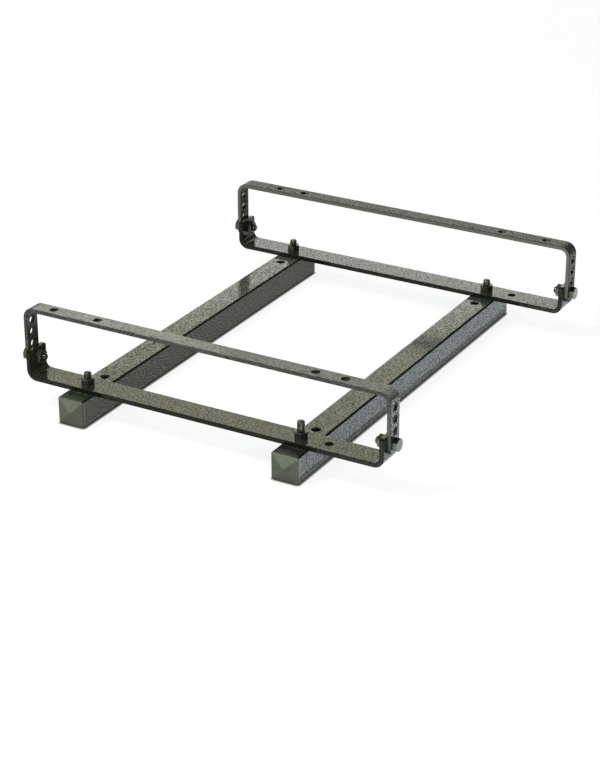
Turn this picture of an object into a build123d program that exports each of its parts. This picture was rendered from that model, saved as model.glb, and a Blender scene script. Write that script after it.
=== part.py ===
from build123d import *
import math
import os

# Seat base adapter. Two box tubes lie on the floor, two flat bars are bolted across them,
# and a rail on two legs stands between the upturned ears of each bar.
# X runs along the bars, +X to the front. Y runs along the tubes, +Y to the left. Z is up.
# The origin is on the floor, midway between the ears and midway along the tubes. Sizes in mm.

# Box tubes
tube_side = 30.0
tube_wall = 2.0
tube_corner = 2.5
tube_length = 474.0

# Places of the tubes along the bars, and of the bars along the tubes
front_tube_x = 109.0
rear_tube_x = -140.0
bar_shift = 7.0
floor_hole_inset = 30.0

# Lower bars
bar_width = 28.5
bar_thickness = 5.0
bar_bend_radius = 6.0
ear_span = 412.0
ear_height = 27.0
ear_corner = 3.0
side_bolt_height = 17.5

# Upper rails
rail_width = 18.0
rail_thickness = 4.5
rail_bend_radius = 7.5
leg_hole_pitch = 13.0
leg_hole_count = 4
leg_end_margin = 10.5
top_hole_drop = 16.5
rear_seat_hole_inset = 28.0
rear_seat_hole_pitch = 53.0
front_seat_hole_inset = 49.0
front_seat_hole_pitch = 32.0

# Screws and nuts
screw_diameter = 8.0
across_flats = 13.0
head_height = 5.3
nut_height = 6.8
nut_countersink = 0.6
short_screw = 20.0
long_screw = 25.0
tip_round = 2.4
hex_chamfer_angle = 30.0
washer_face = 0.95

# Holes
hole_clearance = 1.0
socket_clearance = 5.0
floor_hole = 10.0

# End caps
cap_flange = 3.0
cap_rise = 3.0
cap_point = 2.0
cap_edge = 0.6
plug_length = 14.0
plug_cover = 1.0
fin_reach = 2.5
plug_wall = 2.0
fin_thickness = 1.2
fin_count = 3

# Clearances and broken edges
fin_clearance = 0.1
thread_clearance = 0.05
bar_edge = 0.7

# Levels that follow from the sizes above
bar_floor = tube_side
bar_top = bar_floor + bar_thickness
ear_top = bar_top + ear_height
side_bolt_z = bar_top + side_bolt_height
top_leg_hole_z = side_bolt_z + (leg_hole_count - 1) * leg_hole_pitch
rail_top = top_leg_hole_z + top_hole_drop
leg_span = ear_span + 2 * rail_thickness
rear_seat_x = rear_seat_hole_inset - ear_span / 2
front_seat_x = ear_span / 2 - front_seat_hole_inset
seat_hole_x = (
    rear_seat_x,
    rear_seat_x + rear_seat_hole_pitch,
    front_seat_x - front_seat_hole_pitch,
    front_seat_x,
)
spare_hole_x = -rear_tube_x
bore = tube_side - 2 * tube_wall
tube_end = tube_length / 2
plug_core = bore - 2 * fin_reach
bolt_hole = screw_diameter + hole_clearance
socket_hole = across_flats + socket_clearance
left_bar_inset = plug_length - plug_cover + socket_hole / 2
left_bar_y = tube_end - left_bar_inset
right_bar_y = left_bar_inset + bar_shift - tube_end


def hexagon(height, chamfer_bottom, chamfer_top):
    """A hexagon standing on Z = 0, its corners turned off at the named ends."""
    prism = extrude(RegularPolygon(across_flats / 2, 6, major_radius=False), height)
    corner = across_flats / 2 / math.cos(math.radians(30))
    flat = washer_face * across_flats / 2
    fall = (corner - flat) * math.tan(math.radians(hex_chamfer_angle))
    low = fall if chamfer_bottom else 0.0
    high = height - fall if chamfer_top else height
    outline = [(0, 0), (flat if chamfer_bottom else corner, 0)]
    if chamfer_bottom:
        outline.append((corner, low))
    outline.append((corner, high))
    if chamfer_top:
        outline.append((flat, height))
    outline.append((0, height))
    turned = revolve(Plane.XZ * make_face(Polyline(*outline, close=True)), Axis.Z)
    return prism & turned


def nut():
    """A hexagon nut standing on Z = 0."""
    body = hexagon(nut_height, True, True)
    bore_radius = screw_diameter / 2 + thread_clearance
    mouth_radius = bore_radius + nut_countersink
    sink = Cone(mouth_radius, bore_radius, nut_countersink, align=(Align.CENTER, Align.CENTER, Align.MIN))
    body -= Cylinder(bore_radius, 3 * nut_height)
    body -= sink
    body -= Pos(0, 0, nut_height) * Rot(180, 0, 0) * sink
    return body


def screw(length):
    """A hexagon screw with its head below Z = 0 and its shank above."""
    head = Rot(180, 0, 0) * hexagon(head_height, False, True)
    shank = Cylinder(screw_diameter / 2, length, align=(Align.CENTER, Align.CENTER, Align.MIN))
    shank = fillet(shank.edges().sort_by(Axis.Z)[-1], tip_round)
    return head + shank


def tube():
    """A box tube along Y, standing on Z = 0, drilled for two bars and for the floor."""
    outside = RectangleRounded(tube_side, tube_side, tube_corner)
    inside = RectangleRounded(bore, bore, tube_corner - tube_wall)
    body = extrude(Plane.XZ * (outside - inside), tube_length / 2, both=True)
    body = Pos(0, 0, tube_side / 2) * body
    through = Cylinder(floor_hole / 2, 3 * tube_side)
    upper = Pos(0, 0, tube_side) * Cylinder(bolt_hole / 2, tube_side)
    lower = Cylinder(socket_hole / 2, tube_side)
    for bar_y, inset in ((right_bar_y, floor_hole_inset), (left_bar_y, -floor_hole_inset)):
        body -= Pos(0, bar_y, 0) * (upper + lower)
        body -= Pos(0, bar_y + inset, 0) * through
    return body


def end_cap():
    """A push-in cap for a tube's +Y end, its face drawn to a low point."""
    face = Plane.XZ.offset(-(tube_end + cap_flange))
    flange = extrude(face * RectangleRounded(tube_side, tube_side, tube_corner), cap_flange)
    flange = fillet(flange.edges().group_by(Axis.Y)[-1], cap_edge)
    foot = face * RectangleRounded(
        tube_side - 2 * cap_edge, tube_side - 2 * cap_edge, tube_corner - cap_edge
    )
    tip = face.offset(-cap_rise) * RectangleRounded(cap_point, cap_point, cap_point / 4)
    point = loft([foot, tip])
    core = extrude(
        Plane.XZ.offset(-tube_end) * (Rectangle(plug_core, plug_core)
                                      - Rectangle(plug_core - 2 * plug_wall, plug_core - 2 * plug_wall)),
        plug_length,
    )
    fin_size = bore - 2 * fin_clearance
    fin_hole = plug_core - 2 * plug_wall
    fin_outline = RectangleRounded(fin_size, fin_size, tube_corner - tube_wall) - Rectangle(fin_hole, fin_hole)
    cap = flange + point + core
    pitch = plug_length / fin_count
    for place in range(fin_count):
        start = tube_end - plug_length + place * pitch
        cap += extrude(Plane.XZ.offset(-start - fin_thickness) * fin_outline, fin_thickness)
    return Pos(0, 0, tube_side / 2) * cap


def channel(outer_span, outer_height, thickness, bend_radius, width):
    """A flat bar bent into a U that opens upwards, lying on Z = 0."""
    outer = Pos(0, outer_height / 2) * Rectangle(outer_span, outer_height)
    outer = fillet(outer.vertices().group_by(Axis.Y)[0], bend_radius + thickness)
    inner = Pos(0, thickness + outer_height / 2) * Rectangle(outer_span - 2 * thickness, outer_height)
    inner = fillet(inner.vertices().group_by(Axis.Y)[0], bend_radius)
    return extrude(Plane.XZ * (outer - inner), width / 2, both=True)


def long_edges(body):
    """The edges of a bent bar other than the lines across it."""
    return [e for e in body.edges() if abs(e.tangent_at(0.5).Y) < 0.999]


def cross_hole(diameter, length):
    """A round cutter along X, centred on the origin."""
    return Rot(0, 90, 0) * Cylinder(diameter / 2, length)


def lower_bar():
    """A flat bar across the tubes with an ear turned up at each end."""
    body = channel(ear_span, bar_thickness + ear_height, bar_thickness, bar_bend_radius, bar_width)
    corners = [e for e in body.edges() if abs(e.tangent_at(0.5).X) > 0.999]
    corners = [e for e in corners if e.center().Z > bar_thickness + ear_height - 0.01]
    body = fillet(corners, ear_corner)
    body = fillet(long_edges(body), bar_edge)
    for x in (rear_tube_x, front_tube_x, spare_hole_x):
        body -= Pos(x, 0, 0) * Cylinder(bolt_hole / 2, 4 * bar_thickness)
    body -= Pos(0, 0, bar_thickness + side_bolt_height) * cross_hole(bolt_hole, 2 * ear_span)
    return Pos(0, 0, bar_floor) * body


def upper_rail():
    """A rail on two legs, drilled along its top and up each leg."""
    leg_end = side_bolt_z - leg_end_margin
    round_z = leg_end + rail_width / 2
    body = channel(leg_span, rail_top - leg_end, rail_thickness, rail_bend_radius, rail_width)
    body = Pos(0, 0, rail_top) * Rot(180, 0, 0) * body
    straight = Pos(0, (round_z + rail_top) / 2) * Rectangle(rail_width, rail_top - round_z)
    rounded = straight + Pos(0, round_z) * Circle(rail_width / 2)
    body = body & extrude(Plane.YZ * rounded, leg_span, both=True)
    body = fillet(long_edges(body), bar_edge)
    for x in seat_hole_x:
        body -= Pos(x, 0, rail_top) * Cylinder(bolt_hole / 2, 4 * rail_thickness)
    for place in range(leg_hole_count):
        body -= Pos(0, 0, side_bolt_z + place * leg_hole_pitch) * cross_hole(bolt_hole, 2 * leg_span)
    return body


def tube_screw(length):
    """A screw that stands up from inside a tube through a bar."""
    return Pos(0, 0, tube_side - tube_wall) * screw(length)


def side_screw():
    """A screw through a leg and an ear at the +X end, its head outside."""
    return Pos(leg_span / 2, 0, side_bolt_z) * Rot(0, -90, 0) * screw(short_screw)


def side_nut():
    """The nut of a side screw at the +X end, on the ear's inner face."""
    return Pos(ear_span / 2 - bar_thickness, 0, side_bolt_z) * Rot(0, -90, 0) * nut()


def turned(body):
    """The same piece turned end for end about Z."""
    return Rot(0, 0, 180) * body


def save(name, pieces):
    """Write one sub-part as a group of separate solids."""
    solids = [s for piece in pieces for s in piece.solids()]
    shape = solids[0] if len(solids) == 1 else Compound(children=solids)
    shape.label = name
    export_step(shape, os.path.join("parts", name + ".step"))


os.makedirs("parts", exist_ok=True)

box_tube = tube()
left_cap = end_cap()
right_cap = turned(left_cap)
for end, x in (("front", front_tube_x), ("rear", rear_tube_x)):
    save(end + "_tube", [Pos(x, 0, 0) * box_tube])
    save(end + "_left_end_cap", [Pos(x, 0, 0) * left_cap])
    save(end + "_right_end_cap", [Pos(x, 0, 0) * right_cap])

bar = lower_bar()
rail = upper_rail()
nut_on_bar = Pos(0, 0, bar_top) * nut()
front_side_screw = side_screw()
front_side_nut = side_nut()
for side, y in (("right", right_bar_y), ("left", left_bar_y)):
    save(side + "_lower_bar", [Pos(0, y, 0) * bar])
    save(side + "_tube_nuts", [Pos(x, y, 0) * nut_on_bar for x in (rear_tube_x, front_tube_x)])
    save(side + "_side_nuts", [Pos(0, y, 0) * s for s in (front_side_nut, turned(front_side_nut))])
    save(side + "_side_screws", [Pos(0, y, 0) * s for s in (front_side_screw, turned(front_side_screw))])

save("right_upper_rail", [Pos(0, right_bar_y, 0) * rail])
save("left_upper_rail", [Pos(0, left_bar_y, 0) * turned(rail)])
save("right_rear_tube_screw", [Pos(rear_tube_x, right_bar_y, 0) * tube_screw(short_screw)])
save("right_front_tube_screw", [Pos(front_tube_x, right_bar_y, 0) * tube_screw(long_screw)])
save("left_rear_tube_screw", [Pos(rear_tube_x, left_bar_y, 0) * tube_screw(short_screw)])
save("left_front_tube_screw", [Pos(front_tube_x, left_bar_y, 0) * tube_screw(short_screw)])
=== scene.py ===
# %% [markdown]
# # A seat base adapter
#
# Two square tubes lie on the floor, two flat bars are bolted across them, and a drilled rail
# stands between the upturned ears of each bar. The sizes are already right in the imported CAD
# model, so this lesson is about what CAD leaves out: the light, the paint, the moulded caps
# and the threads of the screws.
#
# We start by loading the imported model. Its parts stay where they are, in metres.

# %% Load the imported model
import bmesh
import bpy
import math
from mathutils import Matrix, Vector


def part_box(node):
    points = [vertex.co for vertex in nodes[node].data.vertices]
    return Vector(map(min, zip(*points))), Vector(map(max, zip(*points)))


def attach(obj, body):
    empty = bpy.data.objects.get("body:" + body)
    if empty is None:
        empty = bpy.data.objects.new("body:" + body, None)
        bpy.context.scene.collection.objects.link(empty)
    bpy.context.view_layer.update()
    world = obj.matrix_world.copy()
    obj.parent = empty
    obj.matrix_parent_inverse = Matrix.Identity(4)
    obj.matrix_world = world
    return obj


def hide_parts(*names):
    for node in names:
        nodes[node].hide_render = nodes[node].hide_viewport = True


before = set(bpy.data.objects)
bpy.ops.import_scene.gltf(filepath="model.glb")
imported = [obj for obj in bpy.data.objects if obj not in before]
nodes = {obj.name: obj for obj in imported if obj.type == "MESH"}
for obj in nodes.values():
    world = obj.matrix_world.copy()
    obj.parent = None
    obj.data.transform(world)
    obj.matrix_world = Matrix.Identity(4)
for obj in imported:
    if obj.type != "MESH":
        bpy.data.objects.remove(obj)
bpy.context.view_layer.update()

# %% [markdown]
# ## The camera
#
# The photographer stood to the front right of the adapter and looked down at it. The place
# and the lens were worked out from points that can be read in the photograph, so we only
# write down the result: which way the camera looks, how far away it is and how long its lens
# is. A longer lens from further away would flatten the two bars towards one size, and a
# shorter one would spread the near corner, so distance and lens belong together.

# %% Camera
photo_height = 771.0
focal_length_in_pixels = 2142.55
sensor_height = 36.0
view_azimuth = math.radians(29.47)
view_elevation = math.radians(25.23)
view_distance = 2.25863
view_target = Vector((0.01420, -0.04234, 0.0))

camera_data = bpy.data.cameras.new("photo_camera")
camera_data.sensor_fit = "VERTICAL"
camera_data.sensor_height = sensor_height
camera_data.lens = sensor_height * focal_length_in_pixels / photo_height
camera_data.clip_start = 0.05
camera_data.clip_end = 60.0
camera = bpy.data.objects.new("photo_camera", camera_data)
bpy.context.scene.collection.objects.link(camera)
camera.location = view_target + view_distance * Vector((
    math.cos(view_elevation) * math.sin(view_azimuth),
    -math.cos(view_elevation) * math.cos(view_azimuth),
    math.sin(view_elevation),
))
camera.rotation_euler = (math.pi / 2 - view_elevation, 0.0, view_azimuth)
bpy.context.scene.camera = camera
print("camera at", [round(v, 3) for v in camera.location], "lens", round(camera_data.lens, 1))

# %% [markdown]
# ## The white studio
#
# In the photograph the adapter stands on white, and only a breath of shadow is left next to
# the tubes. We could turn the lamps up until the floor burns out, but then the black paint
# would be washed out too. Instead the floor is a dull grey under moderate light, and
# emission is added to it for camera, mirror and glass rays alone. That lifts the background
# to paper white. In the last millimetres beside a tube the emission dies away with ambient
# occlusion. That is a painted contact shadow, which keeps the dark line where the adapter
# touches the floor.

# %% Helpers for node trees
def wire(tree, kind, **inputs):
    """Adds a node, sets the inputs that are values and links the ones that are sockets."""
    node = tree.nodes.new(kind)
    for name, value in inputs.items():
        socket = node.inputs[name.replace("_", " ")]
        if isinstance(value, bpy.types.NodeSocket):
            tree.links.new(value, socket)
        else:
            socket.default_value = value
    return node


def calc(tree, operation, a, b=0.0, c=0.0, clamp=False):
    """A Math node; a, b and c are numbers or sockets."""
    node = tree.nodes.new("ShaderNodeMath")
    node.operation = operation
    node.use_clamp = clamp
    for socket, value in zip(node.inputs, (a, b, c)):
        if isinstance(value, bpy.types.NodeSocket):
            tree.links.new(value, socket)
        else:
            socket.default_value = value
    return node.outputs[0]


def times(tree, product, *others):
    """The product of several numbers and sockets."""
    for other in others:
        product = calc(tree, "MULTIPLY", product, other)
    return product


# %% Floor
floor_size = 14.0
contact_reach = 0.003
contact_falloff = 4.0
floor_glow = 0.86

bpy.ops.object.select_all(action="DESELECT")
bpy.ops.mesh.primitive_grid_add(x_subdivisions=8, y_subdivisions=8, size=floor_size,
                                location=(0, 0, 0))
floor = bpy.context.object
floor.name = "studio_floor"
floor_paint = bpy.data.materials.new("floor_white")
floor_paint.use_nodes = True
tree = floor_paint.node_tree
tree.nodes.clear()
# Ambient occlusion dims the floor's emission beside the parts: a painted contact shadow.
near = tree.nodes.new("ShaderNodeAmbientOcclusion")
near.samples = 8
near.inputs["Distance"].default_value = contact_reach
open_floor = calc(tree, "POWER", near.outputs["AO"], contact_falloff)
path = tree.nodes.new("ShaderNodeLightPath")
seen = calc(tree, "MAXIMUM", path.outputs["Is Camera Ray"], path.outputs["Is Glossy Ray"])
seen = calc(tree, "MAXIMUM", seen, path.outputs["Is Transmission Ray"])
lift = times(tree, seen, floor_glow, open_floor)
glow = wire(tree, "ShaderNodeEmission", Color=(0.97, 0.985, 1.0, 1.0), Strength=lift)
matte = wire(tree, "ShaderNodeBsdfDiffuse", Color=(0.20, 0.185, 0.165, 1.0))
both = tree.nodes.new("ShaderNodeAddShader")
tree.links.new(glow.outputs[0], both.inputs[0])
tree.links.new(matte.outputs[0], both.inputs[1])
output = tree.nodes.new("ShaderNodeOutputMaterial")
tree.links.new(both.outputs[0], output.inputs["Surface"])
floor.data.materials.append(floor_paint)
print("floor", floor.name, floor_size, "m wide")

# %% [markdown]
# Beyond the floor's edge the camera sees the world, so that is white as well. A white world
# would also be a huge lamp, and every rounded edge of the paint would mirror it. So only
# camera and glass rays meet the white. Mirrors see a dim room, a little lighter than the
# light the room gives, so the edges stay dark as they are in the photograph. The price is
# that bare metal mirrors this dim room too, and not the white that the camera sees.

# %% World
room_light = 0.16
mirrored_room = 1.2 * room_light

world = bpy.data.worlds.new("white_studio")
bpy.context.scene.world = world
world.use_nodes = True
tree = world.node_tree
tree.nodes.clear()
path = tree.nodes.new("ShaderNodeLightPath")
white = calc(tree, "MAXIMUM", path.outputs["Is Camera Ray"], path.outputs["Is Transmission Ray"])
white = calc(tree, "MAXIMUM", white, times(tree, path.outputs["Is Glossy Ray"], mirrored_room))
level = calc(tree, "MAXIMUM", white, room_light)
background = wire(tree, "ShaderNodeBackground", Color=(0.95, 0.975, 1.0, 1.0), Strength=level)
output = tree.nodes.new("ShaderNodeOutputWorld")
tree.links.new(background.outputs[0], output.inputs["Surface"])
print("room light", room_light, "mirrored", mirrored_room)

# %% [markdown]
# ## The lamps
#
# A black glossy part shows its lamps rather than its colour, so each lamp is there for the
# faces that mirror it or turn towards it:
#
# - the overhead box and the front left box give the plain level of the room;
# - the front right box opens up the caps and the edges that face the camera. It is kept out
#   of mirrors, because from behind the flat tops would show it as a white glare;
# - two cards stand far behind. From the camera the near bar's top mirrors the high one and
#   the far bar's top the low one, and that turns the black tops mid grey;
# - a bluish card lies on the floor at the picture's right, where the tube sides that face
#   the camera mirror it;
# - the key lamp is narrow and strong, for thin bright lines on round things such as studs.

# %% Soft boxes
def soft_box(name, place, aim, width, height, level, colour=(1.0, 1.0, 1.0), mirrored=True):
    """A rectangular soft box at place, turned to face aim; level is how bright its face is."""
    data = bpy.data.lights.new(name, "AREA")
    data.shape = "RECTANGLE"
    data.size = width
    data.size_y = height
    data.energy = level * math.pi * width * height
    data.color = colour
    lamp = bpy.data.objects.new(name, data)
    bpy.context.scene.collection.objects.link(lamp)
    lamp.location = place
    lamp.rotation_euler = (Vector(aim) - Vector(place)).to_track_quat("-Z", "Y").to_euler()
    lamp.visible_camera = False
    lamp.visible_glossy = mirrored
    return lamp


lamps = [
    soft_box("overhead_box", (-0.4, -0.5, 2.3), (0.0, 0.0, 0.0), 2.8, 2.2, 0.8),
    soft_box("front_left_box", (-1.12, -2.23, 0.95), (0.0, 0.0, 0.3), 2.4, 1.6, 1.3),
    soft_box("front_right_box", (1.65, -1.75, 0.75), (0.0, 0.0, 0.05), 1.6, 1.0, 8.5,
             colour=(0.96, 1.0, 0.95), mirrored=False),
    soft_box("back_low_card", (-1.20, 3.12, 0.76), (0.0, 0.0, 0.4), 2.7, 1.25, 2.4),
    soft_box("back_high_card", (-1.20, 3.12, 2.00), (0.0, 0.0, 0.9), 2.7, 1.2, 1.6,
             colour=(1.0, 0.99, 0.72)),
    soft_box("floor_card", (0.60, 0.10, 0.002), (0.60, 0.10, 1.0), 0.94, 1.3, 0.94,
             colour=(0.78, 0.90, 1.0)),
    soft_box("key_lamp", (-0.80, -0.90, 1.65), (0.15, -0.2, 0.1), 0.16, 0.80, 48.0),
]
bpy.context.scene.view_settings.view_transform = "Standard"
print("lamps", [lamp.name for lamp in lamps])

# %% [markdown]
# ## Effects that several finishes share
#
# Paint, plastic and blackened steel differ in colour and shine, but all of them ripple a
# little, drift in tone and change at their edges. Each such effect is a node group, made
# once and placed in a material with that material's numbers. A group gives out only a mask,
# a value or a height, and the material decides what to do with it.

# %% Starting a group
def new_group(name, output, **numbers):
    """A shader group with one output, whose inputs are named numbers with their defaults."""
    group = bpy.data.node_groups.new(name, "ShaderNodeTree")
    for label, value in numbers.items():
        socket = group.interface.new_socket(label, in_out="INPUT", socket_type="NodeSocketFloat")
        socket.default_value = value
    group.interface.new_socket(output, in_out="OUTPUT", socket_type="NodeSocketFloat")
    given = group.nodes.new("NodeGroupInput").outputs
    result = group.nodes.new("NodeGroupOutput").inputs[output]
    return group, given, result


def own_place(tree):
    """A point's place in the object's own coordinates."""
    return tree.nodes.new("ShaderNodeTexCoord").outputs["Object"]


def noise(tree, scale, detail=2.0, roughness=0.5):
    """The value of a noise texture on the object's own coordinates."""
    node = wire(tree, "ShaderNodeTexNoise", Vector=own_place(tree), Scale=scale, Detail=detail,
                Roughness=roughness)
    return node.outputs["Fac"]


def spread(tree, value, low, high, to_low=0.0, to_high=1.0):
    """Maps low..high to to_low..to_high and clamps."""
    node = tree.nodes.new("ShaderNodeMapRange")
    for socket, number in zip(node.inputs, (value, low, high, to_low, to_high)):
        if isinstance(number, bpy.types.NodeSocket):
            tree.links.new(number, socket)
        else:
            socket.default_value = number
    return node.outputs["Result"]


# %% [markdown]
# Baked powder paint levels out before it is quite flat. What remains is called orange peel:
# low, soft bumps one to two millimetres across with a finer ripple on them. The group gives a
# height for a Bump node.

# %% Orange peel
peel, given, result = new_group("orange_peel", "Height", Scale=520.0, Fine=0.35)
finer = 3.1
broad = noise(peel, given["Scale"], detail=1.0)
fine = noise(peel, times(peel, given["Scale"], finer), detail=1.0)
peel.links.new(calc(peel, "MULTIPLY_ADD", fine, given["Fine"], broad), result)
print("group", peel.name)

# %% [markdown]
# A powder coat isn't smooth like poured lacquer. Each grain of powder melts into its
# neighbours and leaves a fine sandy skin, and every grain turns the light a little
# differently. Without this the black would read as lacquer.

# %% Powder grain
grain, given, result = new_group("powder_grain", "Mask", Scale=800.0, Contrast=1.0)
sand = calc(grain, "SUBTRACT", noise(grain, given["Scale"], detail=1.5, roughness=0.6), 0.5)
sand = calc(grain, "MULTIPLY_ADD", sand, given["Contrast"], 0.5)
grain.links.new(spread(grain, sand, 0.36, 0.64), result)
print("group", grain.name)

# %% [markdown]
# One coat of paint is never quite one tone. The group gives a slow value around 0.5. Each
# finish blends its darker tone into its paler one with it, and the steel's roughness
# follows it too.

# %% Tone drift
drift, given, result = new_group("tone_drift", "Value", Scale=14.0, Contrast=1.0)
slow = calc(drift, "SUBTRACT", noise(drift, given["Scale"], detail=3.0, roughness=0.55), 0.5)
drift.links.new(calc(drift, "MULTIPLY_ADD", slow, given["Contrast"], 0.5), result)
print("group", drift.name)

# %% [markdown]
# Dust settles on what faces up, in soft clouds. It pales the tone and dulls the shine. The
# group looks at how far the surface faces up and breaks that up with two sizes of noise.

# %% Settled dust
def upward(tree):
    """How far a surface faces up: 1 on top, 0 on a wall, -1 underneath."""
    parts = tree.nodes.new("ShaderNodeSeparateXYZ")
    tree.links.new(tree.nodes.new("ShaderNodeNewGeometry").outputs["Normal"], parts.inputs[0])
    return parts.outputs["Z"]


dust, given, result = new_group("settled_dust", "Mask", Amount=0.2, Cloud=22.0)
facing = spread(dust, upward(dust), 0.35, 0.98)
cloud = spread(dust, noise(dust, given["Cloud"], detail=5.0, roughness=0.6), 0.25, 0.78, 0.35, 1.0)
speck = spread(dust, noise(dust, 900.0, detail=2.0, roughness=0.7), 0.56, 0.72, 0.0, 0.6)
film = times(dust, facing, calc(dust, "ADD", cloud, speck))
dust.links.new(calc(dust, "MULTIPLY", film, given["Amount"], clamp=True), result)
print("group", dust.name)

# %% [markdown]
# Sprayed powder pulls away from sharp edges, so the coat is thinner there, and handling rubs
# those edges first. The Bevel node rounds the normal near an edge. Where its normal differs
# from the true one there is an edge, and noise breaks the line up so that it isn't drawn as
# with a ruler.

# %% Edge wear
wear, given, result = new_group("edge_wear", "Mask", Width=0.0008, Breakup=140.0, Amount=0.5)
rounded = wear.nodes.new("ShaderNodeBevel")
rounded.samples = 6
wear.links.new(given["Width"], rounded.inputs["Radius"])
match = wear.nodes.new("ShaderNodeVectorMath")
match.operation = "DOT_PRODUCT"
wear.links.new(rounded.outputs["Normal"], match.inputs[0])
wear.links.new(wear.nodes.new("ShaderNodeNewGeometry").outputs["Normal"], match.inputs[1])
edge = spread(wear, match.outputs["Value"], 0.995, 0.90)
ragged = spread(wear, noise(wear, given["Breakup"], detail=4.0, roughness=0.62), 0.36, 0.62)
wear.links.new(calc(wear, "MULTIPLY", times(wear, edge, ragged), given["Amount"], clamp=True), result)
print("group", wear.name)

# %% [markdown]
# In the photograph dark, dull lines run along the rounded edges of the paint. Their cause
# isn't known, so this group only finds such edges. On a flat face of the part the normal
# lies along one axis, and on a rounding it lies between two. The squares of two of its
# components, multiplied, are zero on both faces and largest halfway. Round says how much the
# edges along a bar count, Long how much those along a tube do.

# %% Rounded edges
def normal_squares(tree, axes):
    """The squares of the normal's components along some of the part's own axes."""
    parts = tree.nodes.new("ShaderNodeSeparateXYZ")
    tree.links.new(tree.nodes.new("ShaderNodeTexCoord").outputs["Normal"], parts.inputs[0])
    return [calc(tree, "POWER", calc(tree, "ABSOLUTE", parts.outputs[axis]), 2.0) for axis in axes]


rounding, given, result = new_group("rounded_edge", "Mask", Round=1.0, Long=0.0)
x2, y2, z2 = normal_squares(rounding, "XYZ")
bar_edges = times(rounding, y2, calc(rounding, "SUBTRACT", 1.0, y2), 4.0)
tube_edges = times(rounding, x2, z2, 4.0, given["Long"])
dull_line = calc(rounding, "MULTIPLY_ADD", bar_edges, given["Round"], tube_edges)
rounding.links.new(spread(rounding, dull_line, 0.15, 0.7), result)
print("group", rounding.name)

# %% [markdown]
# Some faces of one part look different from the rest in the photograph: a bar's long sides
# are nearly black, and so is the top of a cap's flange. The paints give them painted shade,
# and give the rails' long sides a paler painted highlight. This group picks faces by the axis
# their normal lies along, Y or Z.

# %% Faces along an axis
faces, given, result = new_group("faces_along", "Mask", Y=0.0, Z=0.0)
y2, z2 = normal_squares(faces, "YZ")
chosen = calc(faces, "MULTIPLY_ADD", y2, given["Y"], times(faces, z2, given["Z"]))
faces.links.new(spread(faces, chosen, 0.75, 0.95), result)
print("group", faces.name)

# %% [markdown]
# A stretch of a part can look different from the rest of it too: the top of each tube beyond
# its bar gets painted shade, dark and dull, and the front half of the right rail is darker
# than its rear half, for a cause the photograph doesn't show. This group measures along X, or
# away from the middle along Y, and noise makes the change ragged.

# %% A stretch along an axis
stretch, given, result = new_group("stretch_along", "Mask", X=0.0, Y=0.0, From=0.0, To=0.01, Ragged=0.0)
parts = stretch.nodes.new("ShaderNodeSeparateXYZ")
stretch.links.new(own_place(stretch), parts.inputs[0])
along_x = times(stretch, parts.outputs["X"], given["X"])
along_y = times(stretch, calc(stretch, "ABSOLUTE", parts.outputs["Y"]), given["Y"])
tear = calc(stretch, "SUBTRACT", noise(stretch, 45.0, detail=4.0, roughness=0.6), 0.5)
reach = calc(stretch, "MULTIPLY_ADD", tear, given["Ragged"], calc(stretch, "ADD", along_x, along_y))
stretch.links.new(spread(stretch, reach, given["From"], given["To"]), result)
print("group", stretch.name)

# %% [markdown]
# The walls of the drilled holes are dark in the photograph, and the paint gives them painted
# shade. Ambient occlusion of the part alone, over sixteen millimetres, finds them: a point on
# a hole's wall looks at the wall across it.

# %% Inside holes
inside, given, result = new_group("hole_painted_shade", "Mask", Reach=0.016)
open_sky = inside.nodes.new("ShaderNodeAmbientOcclusion")
open_sky.samples = 8
open_sky.only_local = True
inside.links.new(given["Reach"], open_sky.inputs["Distance"])
inside.links.new(spread(inside, open_sky.outputs["AO"], 0.78, 0.60), result)
print("group", inside.name)

# %% [markdown]
# Three short helpers serve every finish: one places a group in a material, one mixes two
# colours by a mask, and one starts a new material.

# %% Placing a group in a material
def use(tree, group, **numbers):
    """Places a group with its own values and returns its output."""
    node = tree.nodes.new("ShaderNodeGroup")
    node.node_tree = group
    for label, value in numbers.items():
        node.inputs[label].default_value = value
    return node.outputs[0]


def blend_colour(tree, factor, first, second):
    """Mixes two colours by a mask."""
    node = tree.nodes.new("ShaderNodeMix")
    node.data_type = "RGBA"
    tree.links.new(factor, node.inputs["Factor"])
    for socket, value in ((node.inputs["A"], first), (node.inputs["B"], second)):
        if isinstance(value, bpy.types.NodeSocket):
            tree.links.new(value, socket)
        else:
            socket.default_value = (*value, 1.0)
    return node.outputs["Result"]


def new_finish(name):
    """A material with its node tree and its Principled shader."""
    material = bpy.data.materials.new(name)
    material.use_nodes = True
    return material, material.node_tree, material.node_tree.nodes["Principled BSDF"]


# %% [markdown]
# ## Black powder paint
#
# Tubes, bars and rails wear the same kind of coat: black with a hint of olive, shiny enough
# to mirror the nuts that stand on it. We build it in two layers. A dark matt ground is the
# base colour, without any shine of its own, and a clear glossy skin is the coat layer. The
# grain, the dust, the dull edges and the painted shade in the drilled holes all thin that
# skin out.
#
# In the photograph the parts differ in tone and shine, so one recipe makes a material for
# each of them, and the two bars share one.

# %% Paint recipe
# Pale dust. On the right rail's top it is also a painted highlight.
dust_and_highlight_tone = (0.36, 0.36, 0.34)
grain_tone = (0.15, 0.155, 0.13)
# Nearly black, for the dark lines along rounded edges and the painted shade in the holes.
dark_line_and_hole_shade_tone = (0.003, 0.004, 0.002)
# Near-black painted shade for the bars' long sides.
painted_shade_side_tone = (0.002, 0.003, 0.001)


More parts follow.
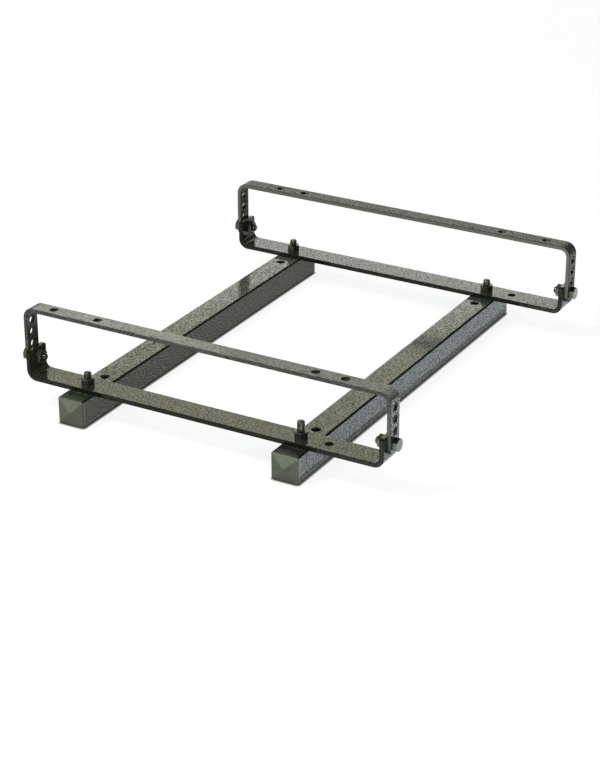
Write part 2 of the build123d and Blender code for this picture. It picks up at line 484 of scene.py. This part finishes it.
def powder_paint(name, deep, pale, shine, gloss, dust_and_highlight_amount=0.03, pits=0.30, speckle=0.10,
                 dull_edges=0.9, along=0.0, painted_side_tone=painted_shade_side_tone, painted_side_mask=0.0, painted_side_skin=0.2,
                 dull=None, dulling=0.8):
    """Black powder paint. deep and pale are the ends of the ground's tone, shine and gloss
    the skin's roughness and index of refraction. pits is how much skin is left between the
    grains, speckle how much paler the grains are, dull_edges how much skin the edges lose,
    along 0 for a bar and 1 for a tube. The dust amount sets the dust film, which on the right
    rail also stands in as a painted highlight. The side values give the faces along Y a tone of
    their own: painted shade on the bars and a painted highlight on the rails. dull is a stretch
    of the top that is made dark and dull, which on the tube ends is painted shade."""
    material, tree, paint = new_finish(name)
    sandy = use(tree, grain, Scale=720.0, Contrast=2.8)
    film = use(tree, dust, Amount=dust_and_highlight_amount, Cloud=26.0)
    film = calc(tree, "MULTIPLY", film, calc(tree, "MULTIPLY_ADD", sandy, 0.8, 0.6), clamp=True)
    # The dark dull lines along rounded edges, and painted shade on the walls of the holes: there the
    # skin goes and the ground turns nearly black.
    dark_lines_and_hole_shade = times(tree, use(tree, rounding, Round=1.0 - along, Long=along), dull_edges)
    dark_lines_and_hole_shade = calc(tree, "MAXIMUM", dark_lines_and_hole_shade, times(tree, use(tree, inside), 0.95))
    # Faces along Y get a tone of their own: painted shade on the bars, a painted highlight on the
    # rails.
    painted_sides = times(tree, use(tree, faces, Y=1.0), painted_side_mask)
    rubbed = use(tree, wear, Width=0.0009, Breakup=160.0, Amount=0.35)

    colour = blend_colour(tree, use(tree, drift, Scale=16.0, Contrast=1.6), deep, pale)
    colour = blend_colour(tree, film, colour, dust_and_highlight_tone)
    colour = blend_colour(tree, times(tree, sandy, speckle), colour, grain_tone)
    colour = blend_colour(tree, dark_lines_and_hole_shade, colour, dark_line_and_hole_shade_tone)
    colour = blend_colour(tree, painted_sides, colour, painted_side_tone)
    skin = times(tree,
                 calc(tree, "MULTIPLY_ADD", sandy, 1.0 - pits, pits),
                 calc(tree, "MULTIPLY_ADD", film, -0.6, 1.0),
                 calc(tree, "MULTIPLY_ADD", rubbed, -0.3, 1.0),
                 calc(tree, "SUBTRACT", 1.0, dark_lines_and_hole_shade),
                 calc(tree, "MULTIPLY_ADD", painted_sides, painted_side_skin - 1.0, 1.0))
    if dull:
        dulled = times(tree, use(tree, stretch, **dull), use(tree, faces, Z=1.0), dulling)
        colour = blend_colour(tree, dulled, colour, deep)
        skin = times(tree, skin, calc(tree, "SUBTRACT", 1.0, dulled))
    tree.links.new(colour, paint.inputs["Base Color"])
    tree.links.new(skin, paint.inputs["Coat Weight"])

    ripple = wire(tree, "ShaderNodeBump", Height=use(tree, peel, Scale=520.0, Fine=0.6),
                  Strength=1.0, Distance=0.00016)
    tree.links.new(ripple.outputs["Normal"], paint.inputs["Normal"])
    paint.inputs["Roughness"].default_value = 0.7
    paint.inputs["Specular IOR Level"].default_value = 0.0
    paint.inputs["Coat Roughness"].default_value = shine
    paint.inputs["Coat IOR"].default_value = gloss
    return material


# %% [markdown]
# The numbers were tuned until the render looked like the photograph, so they aren't
# known properties of the paint. The front tube is a little bluer and the rear one greener,
# and the ends of both get painted shade that makes them dark and dull. The bars' long sides
# are nearly black with painted shade, and the rails' long sides are paler with a painted
# highlight. The right rail is pale and glossy on top, partly from dust and partly from a
# painted highlight, and darker on its front half, and the left one is satin.

# %% Five coats of paint
# The top of each tube beyond its bar gets painted shade, dark and dull; the printed dull ends are this
# painted shade.
end_strip = -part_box("right_lower_bar")[0].y
tube_end_painted_shade = {"Y": 1.0, "From": end_strip, "To": end_strip + 0.002, "Ragged": 0.004}
front_half = {"X": 1.0, "From": -0.02, "To": 0.05, "Ragged": 0.06}

front_tube_paint = powder_paint(
    "front_tube_powder_paint", deep=(0.010, 0.012, 0.010), pale=(0.021, 0.024, 0.021),
    shine=0.14, gloss=1.56, speckle=0.2, along=1.0, dull=tube_end_painted_shade)
rear_tube_paint = powder_paint(
    "rear_tube_powder_paint", deep=(0.010, 0.016, 0.005), pale=(0.020, 0.030, 0.011),
    shine=0.14, gloss=1.50, pits=0.20, speckle=0.65, along=1.0, dull=tube_end_painted_shade)
# The bars' long sides get near-black painted shade.
bar_paint = powder_paint(
    "bar_powder_paint", deep=(0.005, 0.007, 0.002), pale=(0.011, 0.014, 0.006),
    shine=0.13, gloss=1.58, painted_side_mask=0.65)
# The right rail's heavy dust film is partly a painted highlight that pales its top, and its long sides
# get a paler painted highlight.
right_rail_paint = powder_paint(
    "right_rail_powder_paint", deep=(0.008, 0.010, 0.006), pale=(0.016, 0.018, 0.012),
    shine=0.12, gloss=1.82, dust_and_highlight_amount=0.60, pits=0.20, speckle=0.15, dull_edges=0.6,
    painted_side_tone=(0.03, 0.03, 0.025), painted_side_mask=0.6, painted_side_skin=0.7, dull=front_half, dulling=0.30)
# The left rail's long sides get a pale painted highlight.
left_rail_paint = powder_paint(
    "left_rail_powder_paint", deep=(0.008, 0.011, 0.005), pale=(0.016, 0.019, 0.009),
    shine=0.34, gloss=1.29, dust_and_highlight_amount=0.02, speckle=0.15, dull_edges=0.5,
    painted_side_tone=(0.12, 0.12, 0.10), painted_side_mask=0.9, painted_side_skin=1.0)
print("the tubes' dull ends begin", round(1000 * end_strip, 1), "mm from the middle")

# %% [markdown]
# ## Moulded caps
#
# The caps are pushed-in mouldings of black plastic with a fine even grain. They read a shade
# lighter and greener than the paint. The top of the flange is made dark and dull with painted
# shade. In the photograph the upper facet of the low pyramid is paler and the others are
# darker than our lamps make them, so we paint that difference in: a painted highlight on the
# upper facet and painted shade on the others. A facet is known by how far it leans.

# %% Cap plastic
cap_plastic, tree, plastic = new_finish("cap_plastic")
tone = use(tree, drift, Scale=40.0, Contrast=1.4)
colour = blend_colour(tree, tone, (0.055, 0.063, 0.040), (0.085, 0.095, 0.064))
eroded = times(tree, use(tree, grain, Scale=640.0, Contrast=1.6), 0.55)
colour = blend_colour(tree, eroded, colour, (0.135, 0.145, 0.110))
film = use(tree, dust, Amount=0.10, Cloud=60.0)
colour = blend_colour(tree, film, colour, (0.33, 0.33, 0.31))
# Painted shade makes the top of the flange dark, together with the dark lines along the rounded edges.
painted_shade_flange_top = times(tree, use(tree, faces, Z=1.0), 0.85)
dark_rims_and_flange_shade = calc(tree, "MAXIMUM", use(tree, rounding, Round=0.9, Long=0.9), painted_shade_flange_top)
colour = blend_colour(tree, dark_rims_and_flange_shade, colour, (0.012, 0.014, 0.009))

lean = upward(tree)
# Painted shade on the lower facets and a painted highlight on the upper one.
painted_shade_facets = times(tree, calc(tree, "SUBTRACT", 1.0, spread(tree, lean, -0.10, 0.14)), 0.45)
colour = blend_colour(tree, painted_shade_facets, colour, (0.02, 0.022, 0.016))
painted_highlight_facet = times(tree, spread(tree, lean, 0.02, 0.12), spread(tree, lean, 0.6, 0.3), 0.13)
colour = blend_colour(tree, painted_highlight_facet, colour, (0.33, 0.34, 0.30))
tree.links.new(colour, plastic.inputs["Base Color"])

pores = wire(tree, "ShaderNodeBump", Height=use(tree, peel, Scale=1200.0, Fine=0.6),
             Strength=1.0, Distance=0.00006)
tree.links.new(pores.outputs["Normal"], plastic.inputs["Normal"])
tree.links.new(calc(tree, "MULTIPLY_ADD", dark_rims_and_flange_shade, -0.85, 1.0, clamp=True), plastic.inputs["Coat Weight"])
plastic.inputs["Roughness"].default_value = 0.6
plastic.inputs["Specular IOR Level"].default_value = 0.0
plastic.inputs["Coat Roughness"].default_value = 0.28
plastic.inputs["Coat IOR"].default_value = 1.42
print("plastic", cap_plastic.name)

# %% [markdown]
# ## Blackened steel
#
# Screws and nuts look like steel that was blackened and oiled. It is a metal under a dark
# skin, and on crests and corners it shows a warm brassy sheen. A metal's colour is
# its reflection, so the base colour is dark and Metallic is high, and the edge mask leads
# over to the bright bare tone.

# %% Fastener steel
steel, tree, metal = new_finish("blackened_steel")
tone = use(tree, drift, Scale=120.0, Contrast=1.8)
colour = blend_colour(tree, tone, (0.040, 0.043, 0.032), (0.110, 0.112, 0.088))
rubbed = use(tree, wear, Width=0.00035, Breakup=420.0, Amount=0.9)
colour = blend_colour(tree, rubbed, colour, (0.60, 0.56, 0.44))
tree.links.new(colour, metal.inputs["Base Color"])
tree.links.new(calc(tree, "MULTIPLY_ADD", rubbed, 0.10, 0.88, clamp=True), metal.inputs["Metallic"])
tree.links.new(calc(tree, "MULTIPLY_ADD", tone, 0.14, 0.16), metal.inputs["Roughness"])
forged = wire(tree, "ShaderNodeBump", Height=use(tree, peel, Scale=1500.0, Fine=0.5),
              Strength=1.0, Distance=0.000018)
tree.links.new(forged.outputs["Normal"], metal.inputs["Normal"])
metal.inputs["IOR"].default_value = 1.5
print("steel", steel.name)

# %% [markdown]
# Every CAD part already has a slot for its material. The slot stays, and we only put the
# finish in it, chosen by how the part's name ends.

# %% Paint the CAD parts
finish_of = {
    "front_tube": front_tube_paint,
    "rear_tube": rear_tube_paint,
    "lower_bar": bar_paint,
    "right_upper_rail": right_rail_paint,
    "left_upper_rail": left_rail_paint,
    "end_cap": cap_plastic,
    "nuts": steel,
    "screw": steel,
    "screws": steel,
}
for name, part in nodes.items():
    ending = next(e for e in finish_of if name.endswith(e))
    for slot in part.material_slots:
        slot.material = finish_of[ending]
print("painted", len(nodes), "parts")

# %% [markdown]
# ## A threaded screw
#
# In CAD the screws are smooth rods, because nothing is measured from a thread. On the real
# adapter the studs stand up bare above their nuts, and their threads catch the light, so we
# model them. A thread is one small profile swept along a helix. Modelled by hand: start from
# a plane merged into one point, extrude that point along the flank of one turn, and let the
# Screw modifier carry the profile round and up. The profile ends one pitch above its start,
# so each turn meets the next without a gap.

# %% Sizes of the screws, in metres
thread_radius = 0.0040
pitch = 0.00125
thread_depth = 0.6134 * pitch
root_radius = thread_radius - thread_depth
tip_round = 0.0024
head_height = 0.0053
across_flats = 0.013
head_chamfer = math.radians(30)
washer_face = 0.95
short_length = 0.020
long_length = 0.025
hair = 0.00004
print("thread", round(2000 * thread_radius, 2), "mm, pitch", round(1000 * pitch, 2), "mm")


def only(obj):
    """Makes obj the one selected and active object."""
    bpy.ops.object.select_all(action="DESELECT")
    obj.select_set(True)
    bpy.context.view_layer.objects.active = obj


def grow_point(*move):
    """Extrudes the selected point of the mesh in edit mode."""
    bpy.ops.mesh.extrude_vertices_move(TRANSFORM_OT_translate={"value": move})


# %% One turn of thread, swept to the length of a shank
def thread(name, low, high):
    """A closed threaded rod on the Z axis from low to high."""
    bpy.ops.object.select_all(action="DESELECT")
    bpy.ops.mesh.primitive_plane_add(size=0.001, location=(root_radius, 0, low - pitch))
    rod = bpy.context.object
    rod.name = name
    bpy.ops.object.transform_apply(location=True)
    bpy.ops.object.mode_set(mode="EDIT")
    bpy.ops.mesh.select_mode(type="VERT")
    bpy.ops.mesh.select_all(action="SELECT")
    bpy.ops.mesh.merge(type="CENTER")
    grow_point(0, 0, pitch / 4)
    grow_point(thread_depth, 0, pitch * 5 / 16)
    grow_point(0, 0, pitch / 8)
    grow_point(-thread_depth, 0, pitch * 5 / 16)
    bpy.ops.object.mode_set(mode="OBJECT")
    only(rod)
    sweep = rod.modifiers.new("helix", "SCREW")
    sweep.axis = "Z"
    sweep.angle = 2 * math.pi
    sweep.screw_offset = pitch
    sweep.iterations = math.ceil((high - low) / pitch) + 2
    sweep.steps = 32
    sweep.render_steps = 32
    sweep.use_merge_vertices = True
    sweep.merge_threshold = 1e-5
    bpy.ops.object.modifier_apply(modifier=sweep.name)
    bpy.ops.object.mode_set(mode="EDIT")
    bpy.ops.mesh.select_all(action="SELECT")
    bpy.ops.mesh.remove_doubles(threshold=1e-5)
    for height, clear in ((low, "inner"), (high, "outer")):
        bpy.ops.mesh.select_all(action="SELECT")
        bpy.ops.mesh.bisect(plane_co=(0, 0, height), plane_no=(0, 0, 1), use_fill=True,
                            clear_inner=clear == "inner", clear_outer=clear == "outer")
    bpy.ops.mesh.select_all(action="SELECT")
    bpy.ops.mesh.normals_make_consistent(inside=False)
    bpy.ops.object.mode_set(mode="OBJECT")
    return rod


# %% [markdown]
# The end of a rolled screw is domed, and the thread fades out on the dome. Rounding the helix
# itself would mean editing hundreds of small faces. It is easier to make a plain bullet of
# the right outline and keep what the two have in common, with a Boolean modifier.

# %% Selecting by place, and Booleans
def pick_faces(obj, test):
    """In edit mode: selects the faces whose centre and normal pass the test."""
    bpy.ops.mesh.select_mode(type="FACE")
    bpy.ops.mesh.select_all(action="DESELECT")
    shape = bmesh.from_edit_mesh(obj.data)
    for face in shape.faces:
        face.select_set(test(face.calc_center_median(), face.normal))
    shape.select_flush_mode()
    bmesh.update_edit_mesh(obj.data)


def cut_with(obj, tool, operation):
    """Applies a Boolean of obj with tool and throws the tool away."""
    only(obj)
    cut = obj.modifiers.new("cut", "BOOLEAN")
    cut.operation = operation
    cut.solver = "EXACT"
    cut.object = tool
    bpy.ops.object.modifier_apply(modifier=cut.name)
    bpy.data.objects.remove(tool)


def bullet(low, high):
    """A plain rod from low to high with a domed upper end."""
    bpy.ops.object.select_all(action="DESELECT")
    bpy.ops.mesh.primitive_cylinder_add(vertices=64, radius=thread_radius + hair, depth=high - low,
                                        location=(0, 0, (low + high) / 2))
    rod = bpy.context.object
    bpy.ops.object.transform_apply(location=True)
    bpy.ops.object.mode_set(mode="EDIT")
    pick_faces(rod, lambda centre, normal: normal.z > 0.9)
    bpy.ops.mesh.bevel(offset=tip_round, segments=7, affect="EDGES")
    bpy.ops.object.mode_set(mode="OBJECT")
    return rod


# %% [markdown]
# A forged hexagon head isn't a plain prism: its outer corners are turned off at thirty
# degrees, which leaves six flat arcs. We get them in the same way, as what a hexagon prism
# and a round blank with a sloping rim have in common.

# %% Hexagon blank
def hexagon_head(height):
    """A hexagon head below Z = 0, corners towards X, its lower rim turned off."""
    corner = across_flats / 2 / math.cos(math.pi / 6)
    flat = washer_face * across_flats / 2
    fall = (corner - flat) * math.tan(head_chamfer)
    bpy.ops.object.select_all(action="DESELECT")
    bpy.ops.mesh.primitive_cylinder_add(vertices=72, radius=1.002 * corner, depth=height - fall,
                                        location=(0, 0, (fall - height) / 2))
    blank = bpy.context.object
    bpy.ops.object.transform_apply(location=True)
    bpy.ops.object.mode_set(mode="EDIT")
    pick_faces(blank, lambda centre, normal: normal.z < -0.9)
    bpy.ops.mesh.extrude_region_move(TRANSFORM_OT_translate={"value": (0, 0, -fall)})
    bpy.ops.transform.resize(value=(flat / corner, flat / corner, 1), center_override=(0, 0, -height))
    bpy.ops.object.mode_set(mode="OBJECT")
    bpy.ops.object.select_all(action="DESELECT")
    bpy.ops.mesh.primitive_cylinder_add(vertices=6, radius=corner, depth=3 * height,
                                        rotation=(0, 0, math.pi / 2))
    prism = bpy.context.object
    bpy.ops.object.transform_apply(rotation=True)
    cut_with(blank, prism, "INTERSECT")
    return blank


# %% Head and shank together
def screw(name, length):
    """A threaded hexagon screw, its shank up from Z = 0 and its head below."""
    inside_head = -0.0012
    rod = thread(name, inside_head, length + 0.7 * pitch)
    cut_with(rod, bullet(inside_head - 0.001, length), "INTERSECT")
    cut_with(rod, hexagon_head(head_height), "UNION")
    only(rod)
    bpy.ops.object.shade_smooth_by_angle(angle=math.radians(28))
    rod.data.materials.clear()
    rod.data.materials.append(steel)
    print(name, "faces", len(rod.data.polygons), "size", [round(v, 4) for v in rod.dimensions])
    return rod


short_screw = screw("short_screw", short_length)
long_screw = screw("long_screw", long_length)

# %% [markdown]
# ## Screws in their places
#
# Each screw is copied with a mesh of its own, turned and moved to its hole, and the move is
# applied, so that the object itself stays at the origin. The places come from the CAD parts'
# own boxes, so a screw can't end up beside its hole. Two screws that share a CAD part are
# joined, because they stand for that part together.

# %% Copies
def set_in(source, name, place, turn=(0, 0, 0)):
    """A copy of a screw with its own mesh, turned and moved to place."""
    copy = source.copy()
    copy.data = source.data.copy()
    copy.name = name
    bpy.context.scene.collection.objects.link(copy)
    copy.location = place
    copy.rotation_euler = turn
    only(copy)
    bpy.ops.object.transform_apply(location=True, rotation=True)
    return copy


quarter_turn = math.pi / 2
between_kinds = head_height + (short_length + long_length) / 2
for hand in ("right", "left"):
    for end in ("front", "rear"):
        node = hand + "_" + end + "_tube_screw"
        low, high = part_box(node)
        kind = long_screw if high.z - low.z > between_kinds else short_screw
        place = ((low.x + high.x) / 2, (low.y + high.y) / 2, low.z + head_height)
        stud = set_in(kind, node + "_threaded", place)
        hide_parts(node)
        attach(stud, "base")
    node = hand + "_side_screws"
    low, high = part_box(node)
    middle = ((low.y + high.y) / 2, (low.z + high.z) / 2)
    pair = [
        set_in(short_screw, node + "_rear", (low.x + head_height, *middle), (0, quarter_turn, 0)),
        set_in(short_screw, node + "_threaded", (high.x - head_height, *middle), (0, -quarter_turn, 0)),
    ]
    for piece in pair:
        piece.select_set(True)
    bpy.context.view_layer.objects.active = pair[1]
    bpy.ops.object.join()
    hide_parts(node)
    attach(pair[1], "base")
for source in (short_screw, long_screw):
    bpy.data.objects.remove(source)
